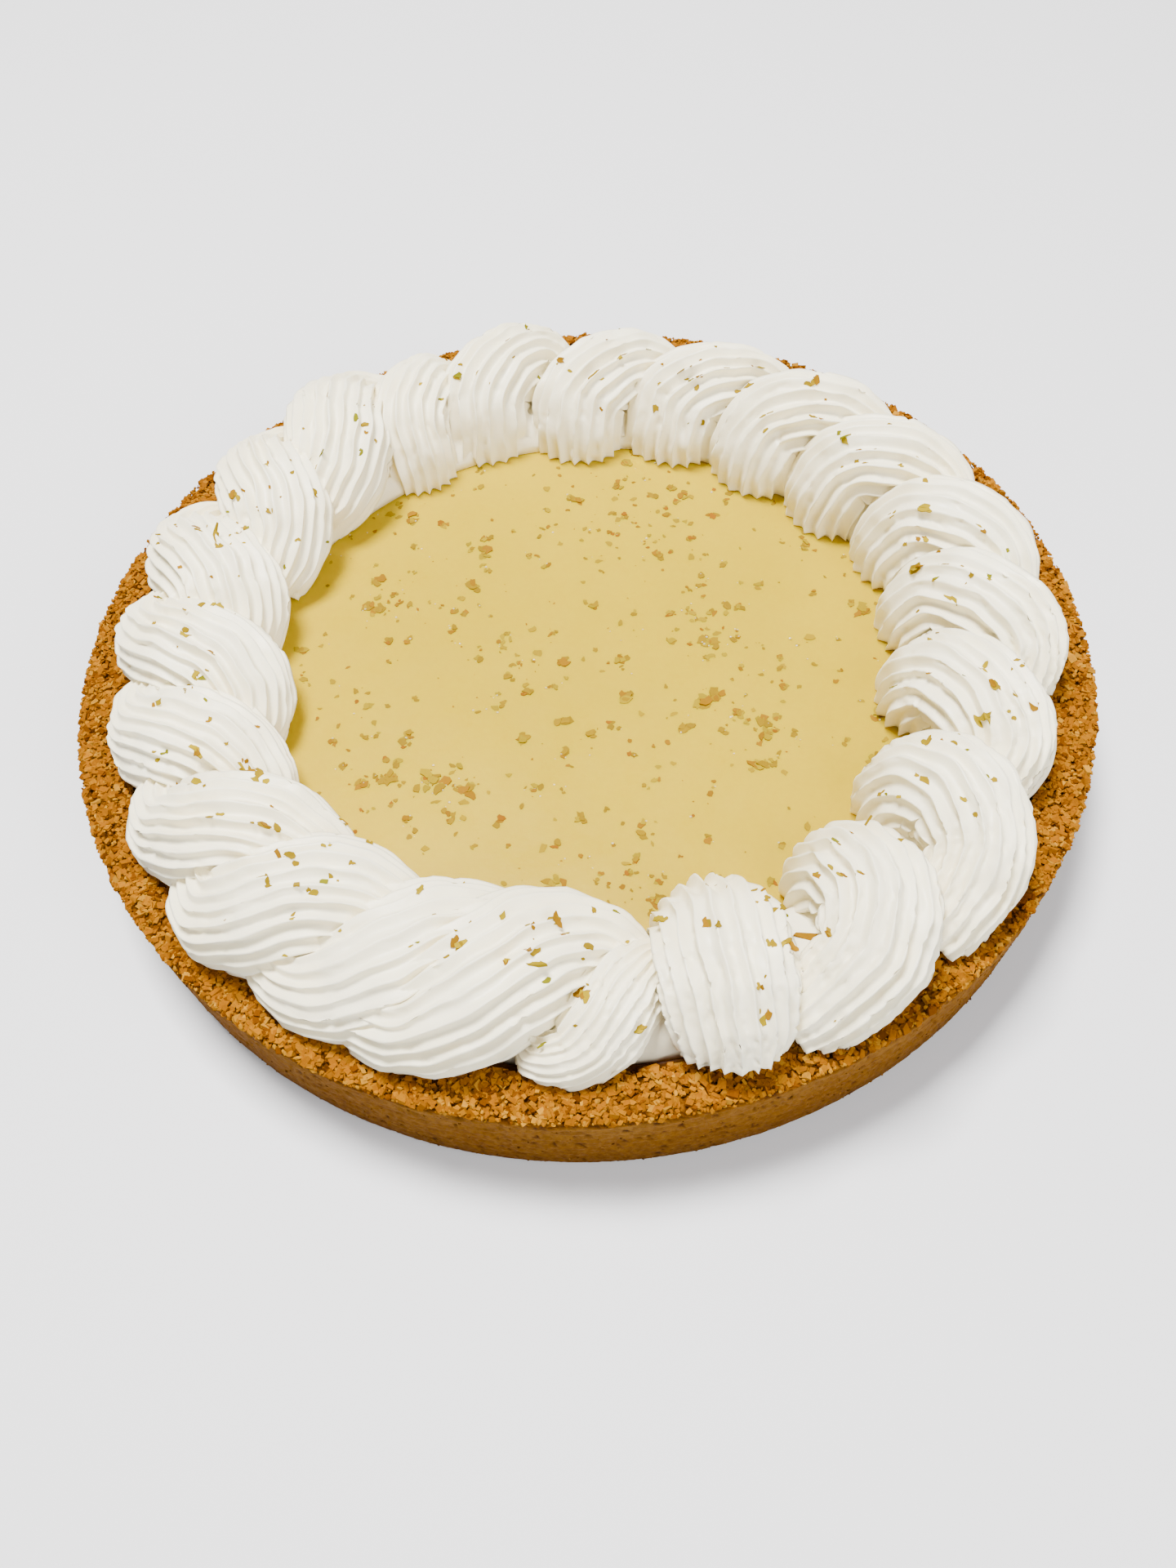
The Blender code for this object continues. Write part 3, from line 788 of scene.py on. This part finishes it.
def pipe_run(name, rows, first):
    loops = bpy.data.collections.new(name + "_loops")
    bpy.context.scene.collection.children.link(loops)
    run = first
    for n, row in enumerate(rows):
        loop = mesh_piece("%s_%02d" % (name, n), *strand(row))
        only(loop)
        bpy.ops.object.mode_set(mode="EDIT")
        bpy.ops.mesh.select_all(action="SELECT")
        bpy.ops.mesh.normals_make_consistent(inside=False)
        bpy.ops.object.mode_set(mode="OBJECT")
        if run is None:
            run = loop
        else:
            bpy.context.scene.collection.objects.unlink(loop)
            loops.objects.link(loop)
    apply_boolean(run, "UNION", collection=loops)
    for loop in list(loops.objects):
        bpy.data.objects.remove(loop, do_unlink=True)
    bpy.data.collections.remove(loops)
    run.name = name
    cutter = underside()
    apply_boolean(run, "DIFFERENCE", other=cutter)
    bpy.data.objects.remove(cutter, do_unlink=True)
    only(run)
    bpy.ops.object.shade_smooth()
    return run


cream_runs = [pipe_run("cream_shells_back", RIGHT_RUN[:7], core_ring()),
              pipe_run("cream_shells_front", RIGHT_RUN[7:], None),
              pipe_run("cream_rope_back", LEFT_RUN[:5], None),
              pipe_run("cream_rope_front", LEFT_RUN[5:], None)]
print([len(run.data.polygons) for run in cream_runs], "faces")

# %% Soft lumps and torn spots
CREAM_SOFT_TOP = 52.6
SOFT_LUMPS = 0.22
FINE_LUMPS = 0.07
TORN_DEPTH = 1.3
SWAY = 0.8
# Beyond this radius the front right is torn more.
TORN_FLANK_R = 102.0


def roughen_cream(ob):
    co = positions(ob)
    normals = np.empty(len(co) * 3)
    ob.data.vertices.foreach_get("normal", normals)
    normals = normals.reshape(-1, 3)
    for i, (x, y, z) in enumerate(co):
        place = Vector((x, y, z))
        soft = noise.noise(place * 0.16)
        fine = noise.noise(place * 0.9)
        torn = max(0.0, noise.noise(place * 0.45 + Vector((9.0, 4.0, 1.0))) - 0.28)
        if math.hypot(x, y) > TORN_FLANK_R and x > 0 > y:
            torn += 0.9 * max(0.0, noise.noise(place * 0.75) - 0.12)
        fade = smooth_step(FILL_TOP_Z + 0.5, FILL_TOP_Z + 2.5, z)
        sway = SWAY * noise.noise_vector(place * 0.13)
        push = SOFT_LUMPS * soft + FINE_LUMPS * fine - TORN_DEPTH * torn
        co[i] += fade * (normals[i] * push + np.array(sway))
    over = np.maximum(co[:, 2] - CREAM_SOFT_TOP, 0.0)
    co[:, 2] -= over - 0.6 * (1 - np.exp(-over / 0.6))
    set_positions(ob, co)


for run in cream_runs:
    roughen_cream(run)
print("cream roughened")

# %% Cream material
CREAM_WARM = (0.93, 0.85, 0.62)
CREAM_PALE = (0.95, 0.885, 0.68)


def cream_material():
    mat, tree, bsdf = new_material("whipped_cream")
    link = tree.links.new
    base = mix_color(tree, patchy(tree, 45.0, 3.0, 0.0, 1.0), CREAM_WARM, CREAM_PALE)
    link(base, bsdf.inputs["Base Color"])
    link(patchy(tree, 160.0, 3.0, 0.38, 0.55), bsdf.inputs["Roughness"])
    soften(bsdf, 0.16, (1.0, 0.85, 0.6), 0.8)
    soft = bump(tree, patchy(tree, 260.0, 4.0, 0.0, 1.0), 0.12, 0.3)
    fine = bump(tree, patchy(tree, 1300.0, 3.0, 0.0, 1.0), 0.1, 0.1, soft)
    link(fine, bsdf.inputs["Normal"])
    return mat


CREAM = cream_material()
for run in cream_runs:
    finish_piece(run, CREAM, "whipped_cream", "cream_border")

# %% [markdown]
# ## Scattering
# Loose crumbs and flakes of zest are real meshes. One small form is made by an operator, and
# each copy of it is warped with numpy before all of them become one mesh. A tree of the finished
# surfaces tells how high each one lies, and which way the surface faces there.

# %% Helpers for scattering
def surface_tree(*obs):
    verts = []
    faces = []
    for ob in obs:
        base = len(verts)
        verts += [tuple(v) for v in positions(ob)]
        faces += [[base + i for i in face.vertices] for face in ob.data.polygons]
    return BVHTree.FromPolygons(verts, faces)


def base_form(ob):
    """The points of a small form, one unit long, and its faces. The object is then removed."""
    co = positions(ob) * MM
    faces = [list(face.vertices) for face in ob.data.polygons]
    bpy.data.objects.remove(ob, do_unlink=True)
    return co, faces


def axes_on(normal, spin):
    """Three directions: two along a surface, turned by spin, and the surface's normal."""
    up = np.array(normal, float)
    up /= np.linalg.norm(up)
    side = np.cross(up, np.array([0.31, 0.92, 0.24]))
    side /= np.linalg.norm(side)
    along = np.cross(up, side)
    x_dir = math.cos(spin) * side + math.sin(spin) * along
    return np.array([x_dir, np.cross(up, x_dir), up])


def scatter(name, faces, copies, smooth):
    """One mesh of many copies: each is (points in mm, tint)."""
    verts = np.vstack([points for points, tint in copies])
    size = len(copies[0][0])
    all_faces = []
    for n in range(len(copies)):
        all_faces += [[n * size + i for i in face] for face in faces]
    ob = mesh_piece(name, verts, all_faces)
    set_colors(ob, "tint", np.vstack([np.tile((*tint, 1.0), (size, 1)) for points, tint in copies]))
    if smooth:
        only(ob)
        bpy.ops.object.shade_smooth()
    return ob


def mixed(palette, weights, spread):
    """A colour of the palette, a little lighter or darker."""
    color = np.array(palette[draw.choice(len(palette), p=weights)])
    return tuple(np.clip(color * (1 + draw.uniform(-spread, spread)), 0.0, 1.0))


bpy.ops.mesh.primitive_ico_sphere_add(subdivisions=1, radius=0.5)
CRUMB_FORM, CRUMB_FACES = base_form(bpy.context.object)
bpy.ops.mesh.primitive_cube_add(size=1.0)
CHIP_FORM, CHIP_FACES = base_form(bpy.context.object)
print("a crumb has", len(CRUMB_FACES), "faces, a chip", len(CHIP_FACES))

# %% [markdown]
# ## Crumbs of the rim
# The broken rim is packed with angular chips of biscuit, nearly flush, with pits between
# them where the bed shows, dark with shadow and with its painted pit shade. Each chip is a cube
# whose corners are pushed about, laid flat and level with the rim's top. Smaller crumbs fill
# the edges and stick to the wall. Most are golden, some pale or dark.

# %% Strew crumbs
CRUMB_COLORS = [(0.23, 0.079, 0.001), (0.29, 0.112, 0.002), (0.36, 0.165, 0.010), (0.13, 0.039, 0.001)]
CRUMB_WEIGHTS = [0.48, 0.30, 0.09, 0.13]
EDGE_WEIGHTS = [0.25, 0.33, 0.32, 0.10]
# A spot on the right of the rim has caramelised: its place, how far it reaches, its colours.
CARAMEL_AT = (89.5, -82.0)
CARAMEL_REACH = 5.0
CARAMEL_COLORS = [(0.13, 0.036, 0.001), (0.19, 0.055, 0.001)]
RIM_CHIPS = 9500
EDGE_CRUMBS = 3600
WALL_CRUMBS = 1300
crust_tree = surface_tree(crust)


def crumb_copy(form, at, normal, size, lean):
    """A crumb with its corners pushed about, lying on a normal, with its centre at a point."""
    shape = form * draw.uniform(0.62, 1.2, form.shape)
    sides = np.array([draw.uniform(0.85, 1.35), draw.uniform(0.6, 1.0), draw.uniform(0.5, 0.8)])
    axes = axes_on(np.array(normal) + draw.normal(0, lean, 3), draw.uniform(0, 2 * math.pi))
    return shape * size * sides @ axes + np.array(at)


def kept_inside(points):
    r = np.hypot(points[:, 0], points[:, 1])
    factor = np.minimum(1.0, MAX_R / r)
    points[:, 0] *= factor
    points[:, 1] *= factor
    points[:, 2] = np.maximum(points[:, 2], 0.05)
    return points


def crumb_size(small, big, power):
    return small + (big - small) * draw.random() ** power


def rim_spot(r, a, z):
    """A point on the rim, and the way its surface faces: up, and outward or inward at the edges."""
    lean = smooth_step(RIM_OUTER_R - 1.2, RIM_OUTER_R, r) - smooth_step(RIM_INNER_R + 1.2, RIM_INNER_R, r)
    return (r * math.cos(a), r * math.sin(a), z), (lean * math.cos(a), lean * math.sin(a), 1.0)


chip_copies = []
for n in range(RIM_CHIPS):
    r = draw.uniform(RIM_INNER_R - 0.1, RIM_OUTER_R - 0.3)
    a = draw.uniform(0, 2 * math.pi)
    wave = 0.35 * noise.noise(Vector((r * math.cos(a), r * math.sin(a), 0.0)) * 0.11)
    size = crumb_size(0.8, 2.1, 1.6)
    at, normal = rim_spot(r, a, RIM_Z - 0.3 * size - 0.1 + wave + draw.normal(0, 0.16))
    if math.hypot(at[0] - CARAMEL_AT[0], at[1] - CARAMEL_AT[1]) < CARAMEL_REACH * draw.uniform(0.6, 1.1):
        tint = mixed(CARAMEL_COLORS, [0.5, 0.5], 0.15)
    else:
        tint = mixed(CRUMB_COLORS, CRUMB_WEIGHTS, 0.15)
    chip_copies.append((kept_inside(crumb_copy(CHIP_FORM, at, normal, size, 0.28)), tint))
rim_chips = scatter("rim_chips", CHIP_FACES, chip_copies, False)

edge_copies = []
for n in range(EDGE_CRUMBS):
    a = draw.uniform(0, 2 * math.pi)
    side = draw.random()
    if side < 0.5:
        r = RIM_OUTER_R - 0.35 + draw.normal(0, 0.15)
        z = RIM_Z - 0.5 - 1.4 * draw.random() ** 2
    elif side < 0.8:
        r = RIM_INNER_R + draw.normal(0, 0.3)
        z = RIM_Z - 0.4 - 2.0 * draw.random()
    else:
        r = draw.uniform(RIM_INNER_R, RIM_OUTER_R)
        z = RIM_Z - 0.2
    at, normal = rim_spot(r, a, z)
    edge_copies.append((kept_inside(crumb_copy(CRUMB_FORM, at, normal, crumb_size(0.6, 1.7, 2.0), 0.5)),
                        mixed(CRUMB_COLORS, EDGE_WEIGHTS, 0.15)))
edge_crumbs = scatter("edge_crumbs", CRUMB_FACES, edge_copies, False)

WALL_CRUMB_COLORS = [(0.20, 0.090, 0.015), (0.13, 0.050, 0.004), (0.07, 0.024, 0.002)]
wall_copies = []
while len(wall_copies) < WALL_CRUMBS:
    a = draw.uniform(0, 2 * math.pi)
    z = draw.uniform(0.4, RIM_Z - 1.5) if draw.random() < 0.8 else draw.uniform(0.2, 2.0)
    out = Vector((math.cos(a), math.sin(a), 0.0))
    hit, normal, index, dist = crust_tree.ray_cast(out * 150 + Vector((0, 0, z)), -out)
    if hit is None:
        continue
    wall_copies.append((kept_inside(crumb_copy(CRUMB_FORM, hit, normal, crumb_size(0.35, 1.0, 2.2), 0.4)),
                        mixed(WALL_CRUMB_COLORS, [0.4, 0.4, 0.2], 0.15)))
wall_crumbs = scatter("wall_crumbs", CRUMB_FACES, wall_copies, False)


def tinted_material(name, roughness, grain, gloss):
    mat, tree, bsdf = new_material(name)
    attribute = node(tree, "ShaderNodeAttribute", attribute_name="tint")
    spots = patchy(tree, 1700.0, 2.0, 0.0, 0.4)
    mottled = mix_color(tree, spots, attribute.outputs["Color"], grain, "MULTIPLY")
    tree.links.new(mottled, bsdf.inputs["Base Color"])
    tree.links.new(patchy(tree, 1100.0, 2.0, *roughness), bsdf.inputs["Roughness"])
    bsdf.inputs["Specular IOR Level"].default_value = gloss
    return mat


LOOSE_CRUMB = tinted_material("loose_crumb", (0.6, 0.9), (0.62, 0.5, 0.4), 0.01)
finish_piece(rim_chips, LOOSE_CRUMB, "crumb_crust")
finish_piece(edge_crumbs, LOOSE_CRUMB, "crumb_crust")
finish_piece(wall_crumbs, LOOSE_CRUMB, "crumb_crust")

# %% [markdown]
# ## Zest
# Finely grated peel: thin torn bits of 1 to 2 mm that cling together in clumps of up to 5 mm,
# yellow with some orange. A bit is a disc of nine corners with a little thickness, its corners
# pulled in and out and its face dished. On the cream the bits are longer shreds that cross.

# %% Bits of zest
ZEST_COLORS = [(0.225, 0.136, 0.0), (0.225, 0.105, 0.0), (0.27, 0.185, 0.0), (0.22, 0.08, 0.0)]
ZEST_WEIGHTS = [0.44, 0.24, 0.24, 0.08]
CREAM_ZEST_COLORS = [(0.24, 0.155, 0.0), (0.23, 0.11, 0.0), (0.29, 0.205, 0.0), (0.16, 0.15, 0.0)]
CREAM_ZEST_WEIGHTS = [0.45, 0.2, 0.25, 0.1]
SUNK_COLOR = (0.27, 0.175, 0.0)
SUNK_BITS = 90
BIT_CORNERS = 9
BIT_THICKNESS = 0.09

bpy.ops.object.select_all(action="DESELECT")
bpy.ops.mesh.primitive_circle_add(vertices=BIT_CORNERS, radius=0.5, fill_type="TRIFAN")
disc = bpy.context.object
thickness = disc.modifiers.new("thickness", "SOLIDIFY")
thickness.thickness = BIT_THICKNESS
bpy.ops.object.modifier_apply(modifier=thickness.name)
BIT_FORM, BIT_FACES = base_form(disc)


def bit_copy(at, normal, length, slender, lean):
    """A torn bit of peel, lying almost flat and a little sunk."""
    half = len(BIT_FORM) // 2
    torn = np.tile(draw.uniform(0.5, 1.1, half), 2)[:, None]
    shape = BIT_FORM * torn
    shape[:, 2] += draw.uniform(-0.1, 0.25) * (shape[:, 0] ** 2 + shape[:, 1] ** 2)
    shape[:, 1] = shape[:, 1] * slender + draw.uniform(-0.5, 0.5) * shape[:, 0] ** 2
    axes = axes_on(np.array(normal) + draw.normal(0, lean, 3), draw.uniform(0, 2 * math.pi))
    points = shape * length @ axes
    points += np.array(at) + np.array(normal) * 0.04
    points[:, 2] = np.minimum(points[:, 2], CREAM_SOFT_TOP + 0.9)
    return points


def clump(tree, x, y, width, count, slender, palette, weights, steep):
    """Bits that cling together about a place. Gives nothing where the surface is too steep."""
    copies = []
    for n in range(count):
        shift = draw.normal(0, 0.2 * width, 2) if count > 1 else (0.0, 0.0)
        start = Vector((x + shift[0], y + shift[1], 80.0))
        hit, normal, index, dist = tree.ray_cast(start, Vector((0, 0, -1)))
        if hit is None or normal.z < steep or hit.z < FILL_TOP_Z - 1:
            continue
        length = width * draw.uniform(0.55, 0.9) if count > 1 else width
        raised = np.array(hit) + np.array(normal) * 0.05 * n
        bit = bit_copy(raised, normal, length, draw.uniform(*slender), 0.06)
        copies.append((bit, mixed(palette, weights, 0.12)))
    return copies


print("a bit of zest has", len(BIT_FACES), "faces")

# %% Grate zest over the pie
# Clumps on the filling: width from, width to, bits in each, how many
FILLING_CLUMPS = [(3.2, 5.4, 5, 46), (2.2, 3.4, 3, 120), (1.4, 2.4, 2, 130), (1.0, 1.9, 1, 110),
                  (0.4, 0.8, 1, 170)]
# Where the zest fell thickest: centre x, y, and spread
THICK_PLACES = [(-48, 19, 6), (-16, -5, 6), (17, 46, 8), (10, 40, 9), (33, 3, 6), (51, -11, 7), (44, -36, 6),
                (-50, -33, 6), (-34, -42, 6), (7, -70, 8)]
# On the cream: the same, and how slender the shreds are
CREAM_CLUMPS = [(3.6, 5.4, 3, 56, (0.4, 0.7)), (2.2, 3.6, 2, 100, (0.4, 0.75)),
                (0.8, 2.0, 1, 110, (0.4, 0.8)), (5.5, 8.0, 1, 7, (0.2, 0.28))]
THICK_SHARE = 0.3
ZEST_FIELD_R = 84.0
CREAM_MIDDLE_R = 93.0
fill_tree = surface_tree(filling)
cream_tree = surface_tree(*cream_runs)


def place_on_filling():
    if draw.random() < THICK_SHARE:
        x, y, spread = THICK_PLACES[draw.integers(len(THICK_PLACES))]
        return x + draw.normal(0, spread), y + draw.normal(0, spread)
    r = ZEST_FIELD_R * math.sqrt(draw.random())
    a = draw.uniform(0, 2 * math.pi)
    return r * math.cos(a), r * math.sin(a) + BORDER_SHIFT_Y


zest_copies = []
for small, big, count, number in FILLING_CLUMPS:
    for n in range(number):
        x, y = place_on_filling()
        zest_copies += clump(fill_tree, x, y, draw.uniform(small, big), count, (0.5, 0.95), ZEST_COLORS,
                             ZEST_WEIGHTS, 0.9)
for n in range(SUNK_BITS):
    x, y = place_on_filling()
    zest_copies += clump(fill_tree, x, y, draw.uniform(1.5, 3.2), 1, (0.5, 0.9), [SUNK_COLOR], [1.0], 0.9)
filling_zest = scatter("zest_on_filling", BIT_FACES, zest_copies, False)

cream_copies = []
for small, big, count, number, slender in CREAM_CLUMPS:
    made = 0
    while made < number:
        a = draw.uniform(0, 2 * math.pi)
        r = draw.normal(CREAM_MIDDLE_R, 8)
        x = r * math.cos(a)
        y = r * math.sin(a) + BORDER_SHIFT_Y
        bits = clump(cream_tree, x, y, draw.uniform(small, big), count, slender, CREAM_ZEST_COLORS,
                     CREAM_ZEST_WEIGHTS, 0.45)
        if bits and bits[0][0][:, 2].max() > FILL_TOP_Z + 8:
            cream_copies += bits
            made += 1
cream_zest = scatter("zest_on_cream", BIT_FACES, cream_copies, False)

ZEST = tinted_material("zest", (0.55, 0.75), (0.96, 0.88, 0.6), 0.05)
finish_piece(filling_zest, ZEST, "lime_filling")
finish_piece(cream_zest, ZEST, "whipped_cream")

# %% [markdown]
# ### Beads of moisture
# Where zest lies on the custard a little juice beads beside it and glints. The beads are tiny
# flattened spheres of clear liquid.

# %% Juice beads
bpy.ops.object.select_all(action="DESELECT")
bpy.ops.mesh.primitive_ico_sphere_add(subdivisions=2, radius=0.5)
BEAD_FORM, BEAD_FACES = base_form(bpy.context.object)
BEADS = 220
bead_copies = []
for n in range(BEADS):
    beside = zest_copies[draw.integers(len(zest_copies))][0].mean(0)
    size = 0.3 + 0.45 * draw.random() ** 2
    at = (beside[0] + draw.normal(0, 1.2), beside[1] + draw.normal(0, 1.2), FILL_TOP_Z - 0.05)
    sides = np.array([1.0, draw.uniform(0.7, 1.0), 0.7])
    bead_copies.append((BEAD_FORM * size * sides + np.array(at), (1.0, 1.0, 1.0)))
juice_beads = scatter("juice_beads", BEAD_FACES, bead_copies, True)
bead_material, bead_tree, bead_bsdf = new_material("clear_juice")
JUICE_YELLOW = (0.95, 0.86, 0.45)
JUICE_PALE = (1.0, 0.95, 0.7)
bead_color = mix_color(bead_tree, patchy(bead_tree, 300.0, 1.0, 0.0, 1.0), JUICE_YELLOW, JUICE_PALE)
bead_tree.links.new(bead_color, bead_bsdf.inputs["Base Color"])
bead_bsdf.inputs["Roughness"].default_value = 0.06
bead_bsdf.inputs["IOR"].default_value = 1.35
bead_bsdf.inputs["Transmission Weight"].default_value = 0.6
finish_piece(juice_beads, bead_material, "lime_filling")

# %% [markdown]
# ## Floor, light and camera
# The pie stands on a plain pale floor. A soft light high above it, a little behind, gives the
# cream its shadows, and a pale world fills them.

# %% Stage
bpy.ops.object.select_all(action="DESELECT")
bpy.ops.mesh.primitive_plane_add(size=6.0, location=(0, 0, -0.0002))
floor = bpy.context.object
floor.name = "floor"
floor_mat, floor_tree, floor_bsdf = new_material("pale_floor")
floor_bsdf.inputs["Base Color"].default_value = (0.72, 0.72, 0.74, 1.0)
floor_bsdf.inputs["Roughness"].default_value = 0.6
floor.data.materials.append(floor_mat)

world = bpy.data.worlds.new("soft_studio")
bpy.context.scene.world = world
world.use_nodes = True
world.node_tree.nodes["Background"].inputs["Color"].default_value = (0.95, 0.97, 1.0, 1.0)
world.node_tree.nodes["Background"].inputs["Strength"].default_value = 0.30


def area_light(name, place, size, power, color):
    bpy.ops.object.light_add(type="AREA", location=place)
    lamp = bpy.context.object
    lamp.name = name
    lamp.data.shape = "SQUARE"
    lamp.data.size = size
    lamp.data.energy = power
    lamp.data.color = color
    aim = Vector((0, 0, 0.03)) - Vector(place)
    lamp.rotation_euler = aim.to_track_quat("-Z", "Y").to_euler()
    return lamp


area_light("high_window", (-0.25, 0.3, 1.5), 0.5, 80.0, (1.0, 0.985, 0.96))
area_light("front_fill", (0.75, -0.85, 1.0), 1.0, 25.0, (1.0, 1.0, 1.0))
print("stage set")

# %% Camera
CAMERA_PLACE = (0.0, -0.2080, 0.2637)
CAMERA_TURN = (34.68, 2.06, -2.76)
CAMERA_LENS = 28.125
bpy.ops.object.camera_add(location=CAMERA_PLACE, rotation=[math.radians(a) for a in CAMERA_TURN])
camera = bpy.context.object
camera.data.sensor_fit = "VERTICAL"
camera.data.sensor_height = 36.0
camera.data.lens = CAMERA_LENS
camera.data.clip_start = 0.005
bpy.context.scene.camera = camera
print("camera at", CAMERA_PLACE)
